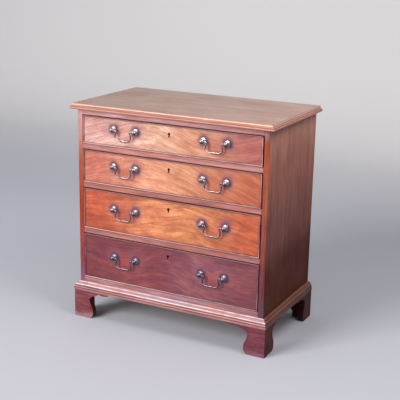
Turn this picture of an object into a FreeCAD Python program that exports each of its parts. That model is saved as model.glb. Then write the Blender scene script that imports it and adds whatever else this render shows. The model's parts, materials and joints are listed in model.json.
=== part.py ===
import FreeCAD, Part
import math
import os
import re

import Sketcher

# A George III bachelor's chest: four graduated long drawers in a solid carcass with a
# moulded top, a mitred base moulding and four bracket feet. Millimetres, +Z up, the
# front faces -Y, and the origin is on the floor under the middle of the overall box.
# Drawer 1 is the top one. Within a sub-part, across is X, deep is Y measured back from
# the carcass front, and up is Z from the floor, or from a drawer's own opening.

SIZES = {
    # carcass
    "carcass_width": 744,
    "carcass_depth": 424,
    "side_thickness": 20,
    "housing_depth": 6,
    "housing_setback": 12,
    "back_thickness": 10,
    "back_rebate": 10,
    "backboard_gap": 1,
    # top board and its moulded edge
    "top_thickness": 20,
    "lip_overhang": 23,
    "lip_bead_radius": 3.5,
    "lip_cove_radius": 7,
    "lip_arris_drop": 3,
    "lip_arris_setback": 9,
    # rails, runners and dust panels
    "top_rail_thickness": 20.5,
    "rail_thickness": 20,
    "rail_depth": 70,
    "bottom_rail_height": 52,
    "bottom_rail_thickness": 22,
    "bottom_board_thickness": 20,
    "runner_width": 45,
    "kicker_width": 30,
    "panel_thickness": 8,
    "panel_groove": 6,
    "panel_edge_play": 1,
    # heights of the drawer openings, top to bottom
    "opening_1": 104.5,
    "opening_2": 122.5,
    "opening_3": 153,
    "opening_4": 171,
    # base moulding
    "base_height": 31,
    "base_projection": 18,
    "base_fascia": 7,
    "base_reed_height": 8,
    "base_ovolo_radius": 7,
    "base_cap_projection": 4.5,
    # bracket feet
    "foot_height": 106,
    "foot_setback": 1,
    "bracket_thickness": 22,
    "bracket_length": 152,
    "bracket_end_drop": 3,
    "foot_width": 67,
    "foot_swell": 14,
    "foot_swell_height": 25,
    "foot_waist_height": 74,
    "wing_drop": 17,
    "wing_cusp": 106,
    "wing_cusp_drop": 4.5,
    "foot_block": 32,
    "foot_block_lift": 4,
    # drawers
    "drawer_side_gap": 2,
    "drawer_top_gap": 2,
    "drawer_lift": 1.5,
    "drawer_run_gap": 0.3,
    "drawer_rear_gap": 14,
    "front_thickness": 20,
    "drawer_side_thickness": 10,
    "drawer_side_drop": 4,
    "drawer_back_thickness": 10,
    "drawer_back_drop": 6,
    "drawer_bottom_thickness": 7,
    "drawer_bottom_lift": 11,
    "drawer_groove": 4,
    "dovetail_pitch": 34,
    "dovetail_neck": 18,
    "dovetail_flare": 2.5,
    "dovetail_lap": 1,
    "cockbead_thickness": 3,
    "cockbead_proud": 3,
    "cockbead_depth": 7,
    "stop_width": 50,
    "stop_depth": 20,
    "stop_height": 6,
    "stop_place": 150,
    "stop_gap": 0.3,
    # locks
    "lock_width": 60,
    "lock_height": 45,
    "lock_thickness": 12,
    "lock_back_plate": 3,
    "lock_bolt_width": 26,
    "lock_bolt_thickness": 5,
    "lock_bolt_height": 20,
    "lock_bolt_play": 0.15,
    "lock_bolt_sink": 0.3,
    "mortise_depth": 9,
    "mortise_play": 0.75,
    "key_drop": 31,
    "key_hole_radius": 4,
    "key_slot_width": 3.6,
    "key_slot_length": 11,
    "escutcheon_wall": 0.8,
    "escutcheon_depth": 5,
    # swan-neck handles
    "handle_place": 177,
    "handle_rise": 11.5,
    "handle_spacing": 90,
    "handle_reach": 14,
    "rose_radius": 11,
    "rose_edge": 1.2,
    "rose_ovolo": 2,
    "rose_cove": 4,
    "rose_depth": 6.5,
    "post_neck_radius": 4.2,
    "post_ball_radius": 8.5,
    "post_shank_radius": 3,
    "post_shank_play": 0.15,
    "post_tip": 2,
    "post_nut_width": 11,
    "post_nut_thickness": 4,
    "pin_radius": 2,
    "pin_play": 0.05,
    "pin_length": 6,
    "pin_end_gap": 0.6,
    "bail_radius": 2.8,
    "bail_drop": 34,
    "bail_neck": 17,
    "bail_neck_radius": 5,
    "bail_hip": 13,
    "bail_corner_radius": 15,
    "grip_swell_radius": 4.2,
    "grip_swell_length": 40,
}

# Shapes of curves: the tangent of a quarter of the turn.
QUARTER_TURN = math.tan(math.pi / 8)
SWELL_TURN = 0.3
WAIST_TURN = 0.12
THROAT_TURN = 0.35
WING_TURN = 0.1
LOBE_TURN = 0.22
REED_TURN = 0.5
DRAWERS = range(1, 5)
BACKBOARDS = range(4)
MARGIN = "5"  # how far a cut reaches past the wood

HALF = "(carcass_width / 2)"
INNER = "(carcass_width / 2 - side_thickness)"
FRONT = "((lip_overhang - carcass_depth) / 2)"
BACK = "(carcass_depth - back_thickness)"
FLOOR_4 = "(foot_height + bottom_rail_height)"
FOOT_OUT = "(base_projection - foot_setback)"
BEAD_BACK = "cockbead_depth"
DRAWER_HALF = f"({INNER} - drawer_side_gap)"
DRAWER_SEAT = f"({DRAWER_HALF} - drawer_side_thickness)"
DRAWER_REAR = f"({BACK} - drawer_rear_gap)"
DRAWER_BACK_FACE = f"({DRAWER_REAR} - drawer_back_thickness)"
DRAWER_BOTTOM_TOP = "(drawer_bottom_lift + drawer_bottom_thickness)"

doc = FreeCAD.newDocument("bachelors_chest")
sheet = doc.addObject("Spreadsheet::Sheet", "sizes")


# --- sizes -----------------------------------------------------------------------------

def fill_sheet():
    """Write every driving size into the sheet, one named cell each."""
    for row, (name, value) in enumerate(SIZES.items(), 1):
        sheet.set(f"A{row}", name)
        sheet.set(f"B{row}", str(value))
        sheet.setAlias(f"B{row}", name)
    doc.recompute()


def cells(formula):
    """The formula with each size's name pointed at its cell."""
    def cell(word):
        return "sizes." + word.group() if word.group() in SIZES else word.group()
    return re.sub(r"[a-z_][a-z_0-9]*", cell, formula)


def bind(thing, name, formula):
    thing.setExpression(name, cells(formula))


def measure(formula):
    return float(sheet.evalExpression(cells(formula)))


def opening_floor(number):
    """Height of the floor of a drawer's opening above the chest's floor."""
    below = "".join(f" + opening_{lower} + rail_thickness" for lower in DRAWERS if lower > number)
    return f"({FLOOR_4}{below})"


CARCASS_TOP = f"({opening_floor(1)} + opening_1 + top_rail_thickness)"


# --- sketches and features -------------------------------------------------------------

PLANES = {"x": "YZ_Plane", "y": "XZ_Plane", "z": "XY_Plane"}


def sketch_across(body, axis, level):
    """An empty sketch square to an axis of the body, at a level of that axis."""
    sketch = body.newObject("Sketcher::SketchObject", "sketch")
    plane = next(part for part in body.Origin.OriginFeatures if part.Role == PLANES[axis])
    sketch.AttachmentSupport = (plane, [""])
    sketch.MapMode = "FlatFace"
    bind(sketch, "AttachmentOffset.Base.z", f"-({level})" if axis == "y" else level)
    return sketch


def tie(sketch, geometry, vertex, across, up):
    """Hold one vertex at a place that the sheet gives."""
    for kind, formula in (("DistanceX", across), ("DistanceY", up)):
        rule = Sketcher.Constraint(kind, -1, 1, geometry, vertex, measure(formula))
        bind(sketch, f"Constraints[{sketch.addConstraint(rule)}]", formula)


def draw_edge(sketch, start, end):
    """Draw the edge that arrives at a corner; gives its index and its two vertices."""
    x0, y0 = measure(start[0]), measure(start[1])
    x1, y1 = measure(end[0]), measure(end[1])
    if len(end) == 2:
        line = Part.LineSegment(FreeCAD.Vector(x0, y0), FreeCAD.Vector(x1, y1))
        return sketch.addGeometry(line, False), 1, 2
    bulge = end[2]
    chord = math.hypot(x1 - x0, y1 - y0)
    radius = chord * (1 + bulge ** 2) / (4 * abs(bulge))
    offset = (1 - bulge ** 2) / (4 * bulge)
    centre = FreeCAD.Vector((x0 + x1) / 2 - (y1 - y0) * offset, (y0 + y1) / 2 + (x1 - x0) * offset)
    first, last = ((x0, y0), (x1, y1)) if bulge > 0 else ((x1, y1), (x0, y0))
    turn_from = math.atan2(first[1] - centre.y, first[0] - centre.x)
    turn_to = math.atan2(last[1] - centre.y, last[0] - centre.x)
    if turn_to < turn_from:
        turn_to += 2 * math.pi
    circle = Part.Circle(centre, FreeCAD.Vector(0, 0, 1), radius)
    arc = sketch.addGeometry(Part.ArcOfCircle(circle, turn_from, turn_to), False)
    rule = sketch.addConstraint(Sketcher.Constraint("Radius", arc, radius))
    share = (1 + bulge ** 2) / (4 * abs(bulge))
    bind(sketch, f"Constraints[{rule}]",
         f"{share} * hypot({end[0]} - ({start[0]}); {end[1]} - ({start[1]}))")
    return (arc, 1, 2) if bulge > 0 else (arc, 2, 1)


def draw(sketch, corners, closed=True):
    """Draw edges through corners whose places are tied to the sheet.

    A corner is (across, up), reached by a straight edge, or (across, up, bulge), reached
    by an arc. The bulge is the tangent of a quarter of the arc's turn, + to the left.
    """
    starts = corners if closed else corners[1:]
    edges = [draw_edge(sketch, corners[corners.index(end) - 1], end) for end in starts]
    for (arriving, _, tip), (leaving, tail, _) in zip(edges, edges[1:] + edges[:closed]):
        sketch.addConstraint(Sketcher.Constraint("Coincident", arriving, tip, leaving, tail))
    for (geometry, _, tip), corner in zip(edges, starts):
        tie(sketch, geometry, tip, corner[0], corner[1])
    if not closed:
        geometry, tail, _ = edges[0]
        tie(sketch, geometry, tail, corners[0][0], corners[0][1])


def draw_circle(sketch, across, up, radius):
    centre = FreeCAD.Vector(measure(across), measure(up))
    ring = sketch.addGeometry(Part.Circle(centre, FreeCAD.Vector(0, 0, 1), measure(radius)), False)
    tie(sketch, ring, 3, across, up)
    rule = sketch.addConstraint(Sketcher.Constraint("Radius", ring, measure(radius)))
    bind(sketch, f"Constraints[{rule}]", radius)


def box_corners(low_across, low_up, high_across, high_up):
    return [(low_across, low_up), (high_across, low_up), (high_across, high_up), (low_across, high_up)]


def extrude(body, kind, axis, span, corners):
    """Pad or pocket an outline over a span of an axis; corners may be a circle's triple."""
    low, high = span
    sketch = sketch_across(body, axis, low)
    if isinstance(corners, tuple):
        draw_circle(sketch, *corners)
    else:
        draw(sketch, corners)
    feature = body.newObject(f"PartDesign::{kind}", kind.lower())
    feature.Profile = sketch
    feature.Reversed = (kind == "Pad") == (axis == "y")
    bind(feature, "Length", f"{high} - ({low})")
    return feature


def add(body, axis, span, corners):
    return extrude(body, "Pad", axis, span, corners)


def cut(body, axis, span, corners):
    return extrude(body, "Pocket", axis, span, corners)


def row_upward(body, feature, count, length):
    """Repeat a pad or pocket drawn across X, evenly up the piece."""
    row = body.newObject("PartDesign::LinearPattern", "row")
    row.Originals = [feature]
    row.Direction = (feature.Profile[0], ["V_Axis"])
    bind(row, "Occurrences", count)
    bind(row, "Length", length)
    body.Tip = row
    return row


def turn(body, corners):
    """Turn an outline of (radius, deep) corners about the body's Y axis."""
    sketch = sketch_across(body, "z", "0")
    draw(sketch, corners)
    feature = body.newObject("PartDesign::Revolution", "turning")
    feature.Profile = sketch
    feature.ReferenceAxis = (sketch, ["V_Axis"])
    feature.Angle = 360
    return feature


def new_body(label):
    body = doc.addObject("PartDesign::Body", label)
    body.Label = label
    return body


def block(label, low, high):
    """A plain board between two corners."""
    board = doc.addObject("Part::Box", label)
    for axis, side, start, end in zip("xyz", ("Length", "Width", "Height"), low, high):
        bind(board, f"Placement.Base.{axis}", start)
        bind(board, side, f"{end} - ({start})")
    return board


def mirrored(label, source):
    """The piece's twin on the other side of the middle plane."""
    twin = doc.addObject("Part::Mirroring", label)
    twin.Source = source
    twin.Normal = FreeCAD.Vector(1, 0, 0)
    return twin


def group(label, pieces):
    """One sub-part made of several separate solids."""
    bundle = doc.addObject("Part::Compound", label)
    bundle.Links = pieces
    return bundle


def place(piece, across="0", deep="0", up="0"):
    """Put a piece at a place given from the carcass front and the floor."""
    bind(piece, "Placement.Base.x", across)
    bind(piece, "Placement.Base.y", f"{FRONT} + {deep}")
    bind(piece, "Placement.Base.z", up)
    return piece


# --- carcass ---------------------------------------------------------------------------

def lip_waste(face, outward):
    """What a cutter takes off the top board's edge, outward of a carcass face."""
    def corner(reach, up, bulge=None):
        across = f"{face} + {outward} * ({reach})"
        return (across, up) if bulge is None else (across, up, -outward * bulge)
    top = f"({CARCASS_TOP} + top_thickness)"
    arris = "(lip_overhang - lip_arris_setback)"
    cove_end = f"({arris} + lip_cove_radius)"
    cove_low = f"({top} - lip_arris_drop - lip_cove_radius)"
    bead_seat = "(lip_overhang - lip_bead_radius)"
    bead_middle = f"({CARCASS_TOP} + lip_bead_radius)"
    bead_top = f"({CARCASS_TOP} + 2 * lip_bead_radius)"
    clear = f"lip_overhang + {MARGIN}"
    return [
        corner(clear, f"{top} + {MARGIN}"),
        corner(arris, f"{top} + {MARGIN}"),
        corner(arris, f"{top} - lip_arris_drop"),
        corner(cove_end, cove_low, -QUARTER_TURN),
        corner(cove_end, bead_top),
        corner(bead_seat, bead_top),
        corner("lip_overhang", bead_middle, QUARTER_TURN),
        corner(bead_seat, CARCASS_TOP, QUARTER_TURN),
        corner(bead_seat, f"{CARCASS_TOP} - {MARGIN}"),
        corner(clear, f"{CARCASS_TOP} - {MARGIN}"),
    ]


def make_top_board():
    body = new_body("top_board")
    reach = f"({HALF} + lip_overhang)"
    add(body, "z", (CARCASS_TOP, f"{CARCASS_TOP} + top_thickness"),
        box_corners(f"-{reach}", "-lip_overhang", reach, "carcass_depth"))
    cut(body, "x", (f"-{reach} - {MARGIN}", f"{reach} + {MARGIN}"), lip_waste("0", -1))
    for outward in (-1, 1):
        cut(body, "y", (f"-lip_overhang - {MARGIN}", f"carcass_depth + {MARGIN}"),
            lip_waste(f"{outward} * {HALF}", outward))
    place(body)


def rail_levels():
    """Low and high face of each drawer rail, top rail first."""
    return [(f"({opening_floor(number)} - rail_thickness)", opening_floor(number)) for number in DRAWERS[:-1]]


def make_sides():
    """A side board with its rebate for the back and the housings for rails and boards."""
    body = new_body("left_side")
    inner_skin = (f"-{INNER} - housing_depth", f"-{INNER} + {MARGIN}")
    add(body, "x", (f"-{HALF}", f"-{INNER}"), box_corners("0", "foot_height", "carcass_depth", CARCASS_TOP))
    cut(body, "x", (f"-{INNER} - back_rebate", f"-{INNER} + {MARGIN}"),
        box_corners(BACK, f"foot_height - {MARGIN}", f"carcass_depth + {MARGIN}", f"{CARCASS_TOP} + {MARGIN}"))
    for low, high in rail_levels():
        cut(body, "x", inner_skin, box_corners("housing_setback", low, BACK, high))
    cut(body, "x", inner_skin,
        box_corners("bottom_rail_thickness", f"{FLOOR_4} - bottom_board_thickness", BACK, FLOOR_4))
    under_top = (f"{CARCASS_TOP} - top_rail_thickness", f"{CARCASS_TOP} + {MARGIN}")
    for near, far in (("housing_setback", "rail_depth"), (f"{BACK} - rail_depth", BACK)):
        cut(body, "x", inner_skin, box_corners(near, under_top[0], far, under_top[1]))
    place(body)
    mirrored("right_side", body)


def tongued_plan(near, far, setback):
    """Plan of a rail whose ends enter both sides, set back from the near edge."""
    tip = f"({INNER} + housing_depth)"
    shoulder = f"{near} + {setback}"
    return [
        (f"-{INNER}", near), (INNER, near), (INNER, shoulder), (tip, shoulder),
        (tip, far), (f"-{tip}", far), (f"-{tip}", shoulder), (f"-{INNER}", shoulder),
    ]


def cut_bolt_mortise(body, under):
    """The pocket that a drawer's bolt enters, in the underside of the rail above it."""
    middle = "(front_thickness - lock_thickness / 2)"
    half_width = "(lock_bolt_width / 2 + mortise_play)"
    half_depth = "(lock_bolt_thickness / 2 + mortise_play)"
    cut(body, "z", (f"{under} - {MARGIN}", f"{under} + mortise_depth"),
        box_corners(f"-{half_width}", f"{middle} - {half_depth}", half_width, f"{middle} + {half_depth}"))


def make_rails():
    """The drawer rails, and the front and rear rails that carry the top board."""
    for number, (low, high) in enumerate(rail_levels(), 2):
        body = new_body(f"drawer_rail_{number - 1}")
        add(body, "z", (low, high), tongued_plan("0", "rail_depth", "housing_setback"))
        middle = f"({low} + rail_thickness / 2)"
        cut(body, "x", (f"-{HALF}", HALF),
            box_corners("rail_depth - panel_groove", f"{middle} - panel_thickness / 2",
                        f"rail_depth + {MARGIN}", f"{middle} + panel_thickness / 2"))
        cut_bolt_mortise(body, low)
        place(body)
    low = f"({CARCASS_TOP} - top_rail_thickness)"
    front = new_body("top_front_rail")
    add(front, "z", (low, CARCASS_TOP), tongued_plan("0", "rail_depth", "housing_setback"))
    cut_bolt_mortise(front, low)
    place(front)
    tip = f"({INNER} + housing_depth)"
    rear = block("top_rear_rail", (f"-{tip}", f"{BACK} - rail_depth", low), (tip, BACK, CARCASS_TOP))
    bind(rear, "Placement.Base.y", f"{FRONT} + {BACK} - rail_depth")


def make_bottom():
    tip = f"({INNER} + housing_depth)"
    board = block("bottom_board", (f"-{tip}", "bottom_rail_thickness", f"{FLOOR_4} - bottom_board_thickness"),
                  (tip, BACK, FLOOR_4))
    bind(board, "Placement.Base.y", f"{FRONT} + bottom_rail_thickness")
    rail = block("bottom_rail", (f"-{INNER}", "0", "foot_height"), (INNER, "bottom_rail_thickness", FLOOR_4))
    bind(rail, "Placement.Base.y", FRONT)


def make_runners():
    """Grooved runners behind each drawer rail, and kickers above the top drawer."""
    pieces = []
    inner_edge = f"({INNER} - runner_width)"
    for low, high in rail_levels():
        runner = new_body("runner")
        add(runner, "y", ("rail_depth", BACK),
            box_corners(inner_edge, low, f"{INNER} + housing_depth", high))
        middle = f"({low} + rail_thickness / 2)"
        cut(runner, "y", (f"rail_depth - {MARGIN}", f"{BACK} + {MARGIN}"),
            box_corners(f"{inner_edge} - {MARGIN}", f"{middle} - panel_thickness / 2",
                        f"{inner_edge} + panel_groove", f"{middle} + panel_thickness / 2"))
        pieces += [runner, mirrored("runner_twin", runner)]
    kicker = block("kicker", (f"{INNER} - kicker_width", "rail_depth", f"{CARCASS_TOP} - top_rail_thickness"),
                   (INNER, f"{BACK} - rail_depth", CARCASS_TOP))
    pieces += [kicker, mirrored("kicker_twin", kicker)]
    place(group("drawer_runners", pieces))


def make_dust_panels():
    panels = []
    edge = f"({INNER} - runner_width + panel_groove - panel_edge_play)"
    for low, _ in rail_levels():
        middle = f"({low} + rail_thickness / 2)"
        panels.append(block("dust_panel", (f"-{edge}", "rail_depth - panel_groove + panel_edge_play",
                                           f"{middle} - panel_thickness / 2"),
                            (edge, BACK, f"{middle} + panel_thickness / 2")))
    place(group("dust_panels", panels))


def make_backboards():
    """Upright boards nailed into the side boards' rebates, with a hairline between them."""
    boards = []
    span = f"({INNER} + back_rebate)"
    pitch = f"((2 * {span} + backboard_gap) / {len(BACKBOARDS)})"
    for number in BACKBOARDS:
        start = f"(-{span} + {number} * {pitch})"
        boards.append(block("backboard", (start, BACK, "foot_height"),
                            (f"{start} + {pitch} - backboard_gap", "carcass_depth", CARCASS_TOP)))
    place(group("backboards", boards))


def make_stops():
    """Blocks that the drawer fronts meet when a drawer is shut."""
    stops = []
    near = "(front_thickness + stop_gap)"
    for number in DRAWERS:
        floor = opening_floor(number)
        stop = block("stop", ("stop_place - stop_width / 2", near, floor),
                     ("stop_place + stop_width / 2", f"{near} + stop_depth", f"{floor} + stop_height"))
        stops += [stop, mirrored("stop_twin", stop)]
    place(group("drawer_stops", stops))


# --- base moulding and feet ------------------------------------------------------------

def base_profile(face):
    """Section of the base moulding outward of a carcass face, on its negative side."""
    def corner(reach, up, bulge=None):
        across, height = f"{face} - ({reach})", f"foot_height + {up}"
        return (across, height) if bulge is None else (across, height, bulge)
    relief = f"({REED_TURN} * base_reed_height / 2)"
    lower_seat = f"(base_projection - {relief})"
    upper_seat = f"({lower_seat} - {relief})"
    lower_top = "(base_fascia + base_reed_height)"
    upper_top = "(base_fascia + 2 * base_reed_height)"
    return [
        corner("0", "0"),
        corner("0", "base_height"),
        corner("base_cap_projection", "base_height"),
        corner("base_cap_projection", f"{upper_top} + base_ovolo_radius"),
        corner("base_cap_projection + base_ovolo_radius", upper_top, QUARTER_TURN),
        corner(upper_seat, upper_top),
        corner(upper_seat, lower_top, REED_TURN),
        corner(lower_seat, lower_top),
        corner(lower_seat, "base_fascia", REED_TURN),
        corner("base_projection", "base_fascia"),
        corner("base_projection", "0"),
    ]


def make_base_moulding():
    """A front length mitred at both ends and two side lengths mitred at the front."""
    reach = f"({HALF} + base_projection)"
    heights = (f"foot_height - {MARGIN}", f"foot_height + base_height + {MARGIN}")
    front = new_body("base_moulding_front")
    add(front, "x", (f"-{reach}", reach), base_profile("0"))
    for side in (-1, 1):
        cut(front, "z", heights, [
            (f"{side} * ({HALF} - {MARGIN})", MARGIN),
            (f"{side} * ({reach} + {MARGIN})", f"-base_projection - {MARGIN}"),
            (f"{side} * ({reach} + {MARGIN})", MARGIN)])
    place(front)
    left = new_body("base_side")
    add(left, "y", ("-base_projection", "carcass_depth"), base_profile(f"-{HALF}"))
    cut(left, "z", heights, [
        (f"-{HALF} + {MARGIN}", MARGIN),
        (f"-{reach} - {MARGIN}", f"-base_projection - {MARGIN}"),
        (f"-{HALF} + {MARGIN}", f"-base_projection - {MARGIN}")])
    place(group("base_moulding_sides", [left, mirrored("base_side_twin", left)]))


def bracket_outline(corner_edge):
    """Side view of a bracket: a swelling foot, a throat and a lobed wing under the base."""
    def corner(inward, up, bulge=None):
        across = f"{corner_edge} + {inward}"
        return (across, up) if bulge is None else (across, up, bulge)
    swell = "(foot_width + foot_swell)"
    waist_middle = "((foot_swell_height + foot_waist_height) / 2)"
    lobe_end = "(bracket_length - bracket_end_drop / 2)"
    return [
        corner("0", "0"),
        corner("foot_width", "0"),
        corner(swell, "foot_swell_height", SWELL_TURN),
        corner("foot_width + foot_swell / 2", waist_middle, WAIST_TURN),
        corner("foot_width", "foot_waist_height", -WAIST_TURN),
        corner(swell, "foot_height - wing_drop", -THROAT_TURN),
        corner("wing_cusp", "foot_height - wing_cusp_drop", WING_TURN),
        corner(lobe_end, "foot_height - bracket_end_drop", LOBE_TURN),
        corner("bracket_length", "foot_height"),
        corner("0", "foot_height"),
    ]


def make_front_foot():
    """Two mitred brackets and the glue block in their corner."""
    side = f"(-{HALF} - {FOOT_OUT})"
    nose = f"(-{FOOT_OUT})"
    clear = f"bracket_thickness + {MARGIN}"
    heights = (f"-{MARGIN}", f"foot_height + {MARGIN}")
    front = new_body("front_bracket")
    add(front, "y", (nose, f"{nose} + bracket_thickness"), bracket_outline(side))
    cut(front, "z", heights, [
        (f"{side} - {MARGIN}", f"{nose} - {MARGIN}"),
        (f"{side} + {clear}", f"{nose} + {clear}"),
        (f"{side} - {MARGIN}", f"{nose} + {clear}")])
    flank = new_body("side_bracket")
    add(flank, "x", (side, f"{side} + bracket_thickness"), bracket_outline(nose))
    cut(flank, "z", heights, [
        (f"{side} - {MARGIN}", f"{nose} - {MARGIN}"),
        (f"{side} + {clear}", f"{nose} - {MARGIN}"),
        (f"{side} + {clear}", f"{nose} + {clear}")])
    inner = (f"{side} + bracket_thickness", f"{nose} + bracket_thickness")
    glue_block = block("glue_block", (*inner, "foot_block_lift"),
                       (f"{inner[0]} + foot_block", f"{inner[1]} + foot_block", "foot_height"))
    return place(group("foot_front_left", [front, flank, glue_block]))


def make_rear_foot():
    """A side bracket flush with the back, a plain rear bracket and their glue block."""
    side = f"(-{HALF} - {FOOT_OUT})"
    flank = new_body("rear_side_bracket")
    outline = [(f"-({across})", *rest) for across, *rest in bracket_outline("-carcass_depth")]
    add(flank, "x", (side, f"{side} + bracket_thickness"),
        [outline[0]] + [swap_bulge(outline, index) for index in range(len(outline) - 1, 0, -1)])
    inner = f"({side} + bracket_thickness)"
    rear = new_body("rear_bracket")
    add(rear, "y", ("carcass_depth - bracket_thickness", "carcass_depth"), [
        (inner, "0"), (f"{inner} + foot_width / 2", "0"), (f"{inner} + bracket_length / 2", "foot_height / 2"),
        (f"{inner} + bracket_length / 2", "foot_height"), (inner, "foot_height")])
    near = "(carcass_depth - bracket_thickness - foot_block)"
    glue_block = block("rear_glue_block", (inner, near, "foot_block_lift"),
                       (f"{inner} + foot_block", f"{near} + foot_block", "foot_height"))
    return place(group("foot_rear_left", [flank, rear, glue_block]))


def swap_bulge(outline, index):
    """A mirrored outline's corner for the opposite way round it."""
    following = outline[(index + 1) % len(outline)]
    place_here = outline[index][:2]
    return place_here if len(following) == 2 else (*place_here, following[2])


def make_feet():
    mirrored("foot_front_right", make_front_foot())
    mirrored("foot_rear_right", make_rear_foot())


# --- drawers ---------------------------------------------------------------------------

def drawer_top(number):
    return f"(opening_{number} - drawer_top_gap)"


def side_top(number):
    return f"({drawer_top(number)} - drawer_side_drop)"


def back_top(number):
    return f"({side_top(number)} - drawer_back_drop)"


def dovetail_row(low, high):
    """How many tails fit evenly between two heights, their spacing and the first's middle."""
    count = f"round(({high} - {low}) / dovetail_pitch)"
    pitch = f"(({high} - {low}) / {count})"
    return count, f"{high} - {low} - {pitch}", f"({low} + {pitch} / 2)"


def tails(body, feature, spans, heights, root, tip):
    """Rows of dovetails over spans of X, widening from their root to their tip."""
    count, length, middle = dovetail_row(*heights)
    neck = "dovetail_neck / 2"
    wide = "(dovetail_neck / 2 + dovetail_flare)"
    corners = [(root, f"{middle} - {neck}"), (tip, f"{middle} - {wide}"),
               (tip, f"{middle} + {wide}"), (root, f"{middle} + {neck}")]
    for span in spans:
        row_upward(body, feature(body, "x", span, corners), count, length)


def front_tails(body, feature, spans, number):
    """The lapped dovetails that hold a drawer side to the front."""
    tails(body, feature, spans, ("drawer_run_gap", side_top(number)), "front_thickness",
          f"({BEAD_BACK} + dovetail_lap)")


def back_tails(body, feature, spans, number):
    """The through dovetails that hold a drawer side to the back."""
    tails(body, feature, spans, (DRAWER_BOTTOM_TOP, back_top(number)), DRAWER_BACK_FACE, DRAWER_REAR)


SIDE_SPANS = ((f"-{DRAWER_HALF}", f"-{DRAWER_SEAT}"), (DRAWER_SEAT, DRAWER_HALF))


def keyhole(number, growth):
    """Outlines of a keyhole's round eye and of the slot below it, grown by a margin."""
    middle = f"({drawer_top(number)} - key_drop)"
    half_width = f"(key_slot_width / 2 + {growth})"
    slot = box_corners(f"-{half_width}", f"{middle} - key_slot_length - {growth}", half_width, middle)
    return ("0", middle, f"key_hole_radius + {growth}"), slot


def cut_keyhole(body, number, deep, growth="0"):
    for outline in keyhole(number, growth):
        cut(body, "y", deep, outline)


def make_drawer_front(number):
    body = new_body(f"drawer_{number}_front")
    top = drawer_top(number)
    add(body, "y", (BEAD_BACK, "front_thickness"),
        box_corners(f"-{DRAWER_HALF}", "drawer_lift", DRAWER_HALF, top))
    inset = f"({DRAWER_HALF} - cockbead_thickness)"
    add(body, "y", ("0", BEAD_BACK),
        box_corners(f"-{inset}", "drawer_lift + cockbead_thickness", inset, f"{top} - cockbead_thickness"))
    cut(body, "y", ("front_thickness - lock_thickness", f"front_thickness + {MARGIN}"),
        box_corners("-lock_width / 2", f"{top} - lock_height", "lock_width / 2", f"{top} + {MARGIN}"))
    cut_keyhole(body, number, (f"-{MARGIN}", "front_thickness"))
    cut_keyhole(body, number, (f"-{MARGIN}", "escutcheon_depth"), "escutcheon_wall")
    for across in handle_posts():
        cut(body, "y", (f"-{MARGIN}", f"front_thickness + {MARGIN}"),
            (across, handle_height(number), "post_shank_radius + post_shank_play"))
    groove_end = f"({DRAWER_SEAT} + drawer_groove)"
    cut(body, "x", (f"-{groove_end}", groove_end),
        box_corners("front_thickness - drawer_groove", "drawer_bottom_lift",
                    f"front_thickness + {MARGIN}", DRAWER_BOTTOM_TOP))
    front_tails(body, cut, SIDE_SPANS, number)
    place(body, up=opening_floor(number))


def make_drawer_sides(number):
    """Two sides with dovetails at both ends, and a groove for the bottom."""
    body = new_body("drawer_side")
    span = SIDE_SPANS[0]
    add(body, "x", span, box_corners("front_thickness", "drawer_run_gap", DRAWER_REAR, side_top(number)))
    cut(body, "x", span, box_corners(DRAWER_BACK_FACE, DRAWER_BOTTOM_TOP, f"{DRAWER_REAR} + {MARGIN}",
                                     back_top(number)))
    front_tails(body, add, [span], number)
    back_tails(body, add, [span], number)
    cut(body, "x", (f"-{DRAWER_SEAT} - drawer_groove", f"-{DRAWER_SEAT} + {MARGIN}"),
        box_corners("front_thickness - drawer_groove", "drawer_bottom_lift", f"{DRAWER_REAR} + {MARGIN}",
                    DRAWER_BOTTOM_TOP))
    place(group(f"drawer_{number}_sides", [body, mirrored("drawer_side_twin", body)]), up=opening_floor(number))


def make_drawer_back(number):
    body = new_body(f"drawer_{number}_back")
    add(body, "y", (DRAWER_BACK_FACE, DRAWER_REAR),
        box_corners(f"-{DRAWER_HALF}", DRAWER_BOTTOM_TOP, DRAWER_HALF, back_top(number)))
    back_tails(body, cut, SIDE_SPANS, number)
    place(body, up=opening_floor(number))


def make_drawer_bottom(number):
    edge = f"({DRAWER_SEAT} + drawer_groove)"
    near = "front_thickness - drawer_groove"
    board = block(f"drawer_{number}_bottom", (f"-{edge}", near, "drawer_bottom_lift"),
                  (edge, DRAWER_REAR, DRAWER_BOTTOM_TOP))
    bind(board, "Placement.Base.y", f"{FRONT} + {near}")
    bind(board, "Placement.Base.z", f"{opening_floor(number)} + drawer_bottom_lift")


def bead_section(outer, inward):
    """Section of a cockbead strip: a round nose stands proud of the drawer front."""
    back_edge = f"{outer} + {inward} * cockbead_thickness"
    middle = f"{outer} + {inward} * cockbead_thickness / 2"
    shoulder = "cockbead_thickness / 2 - cockbead_proud"
    turn_way = -inward * QUARTER_TURN
    return [(outer, BEAD_BACK), (outer, shoulder), (middle, "-cockbead_proud", -turn_way),
            (back_edge, shoulder, -turn_way), (back_edge, BEAD_BACK)]


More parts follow.
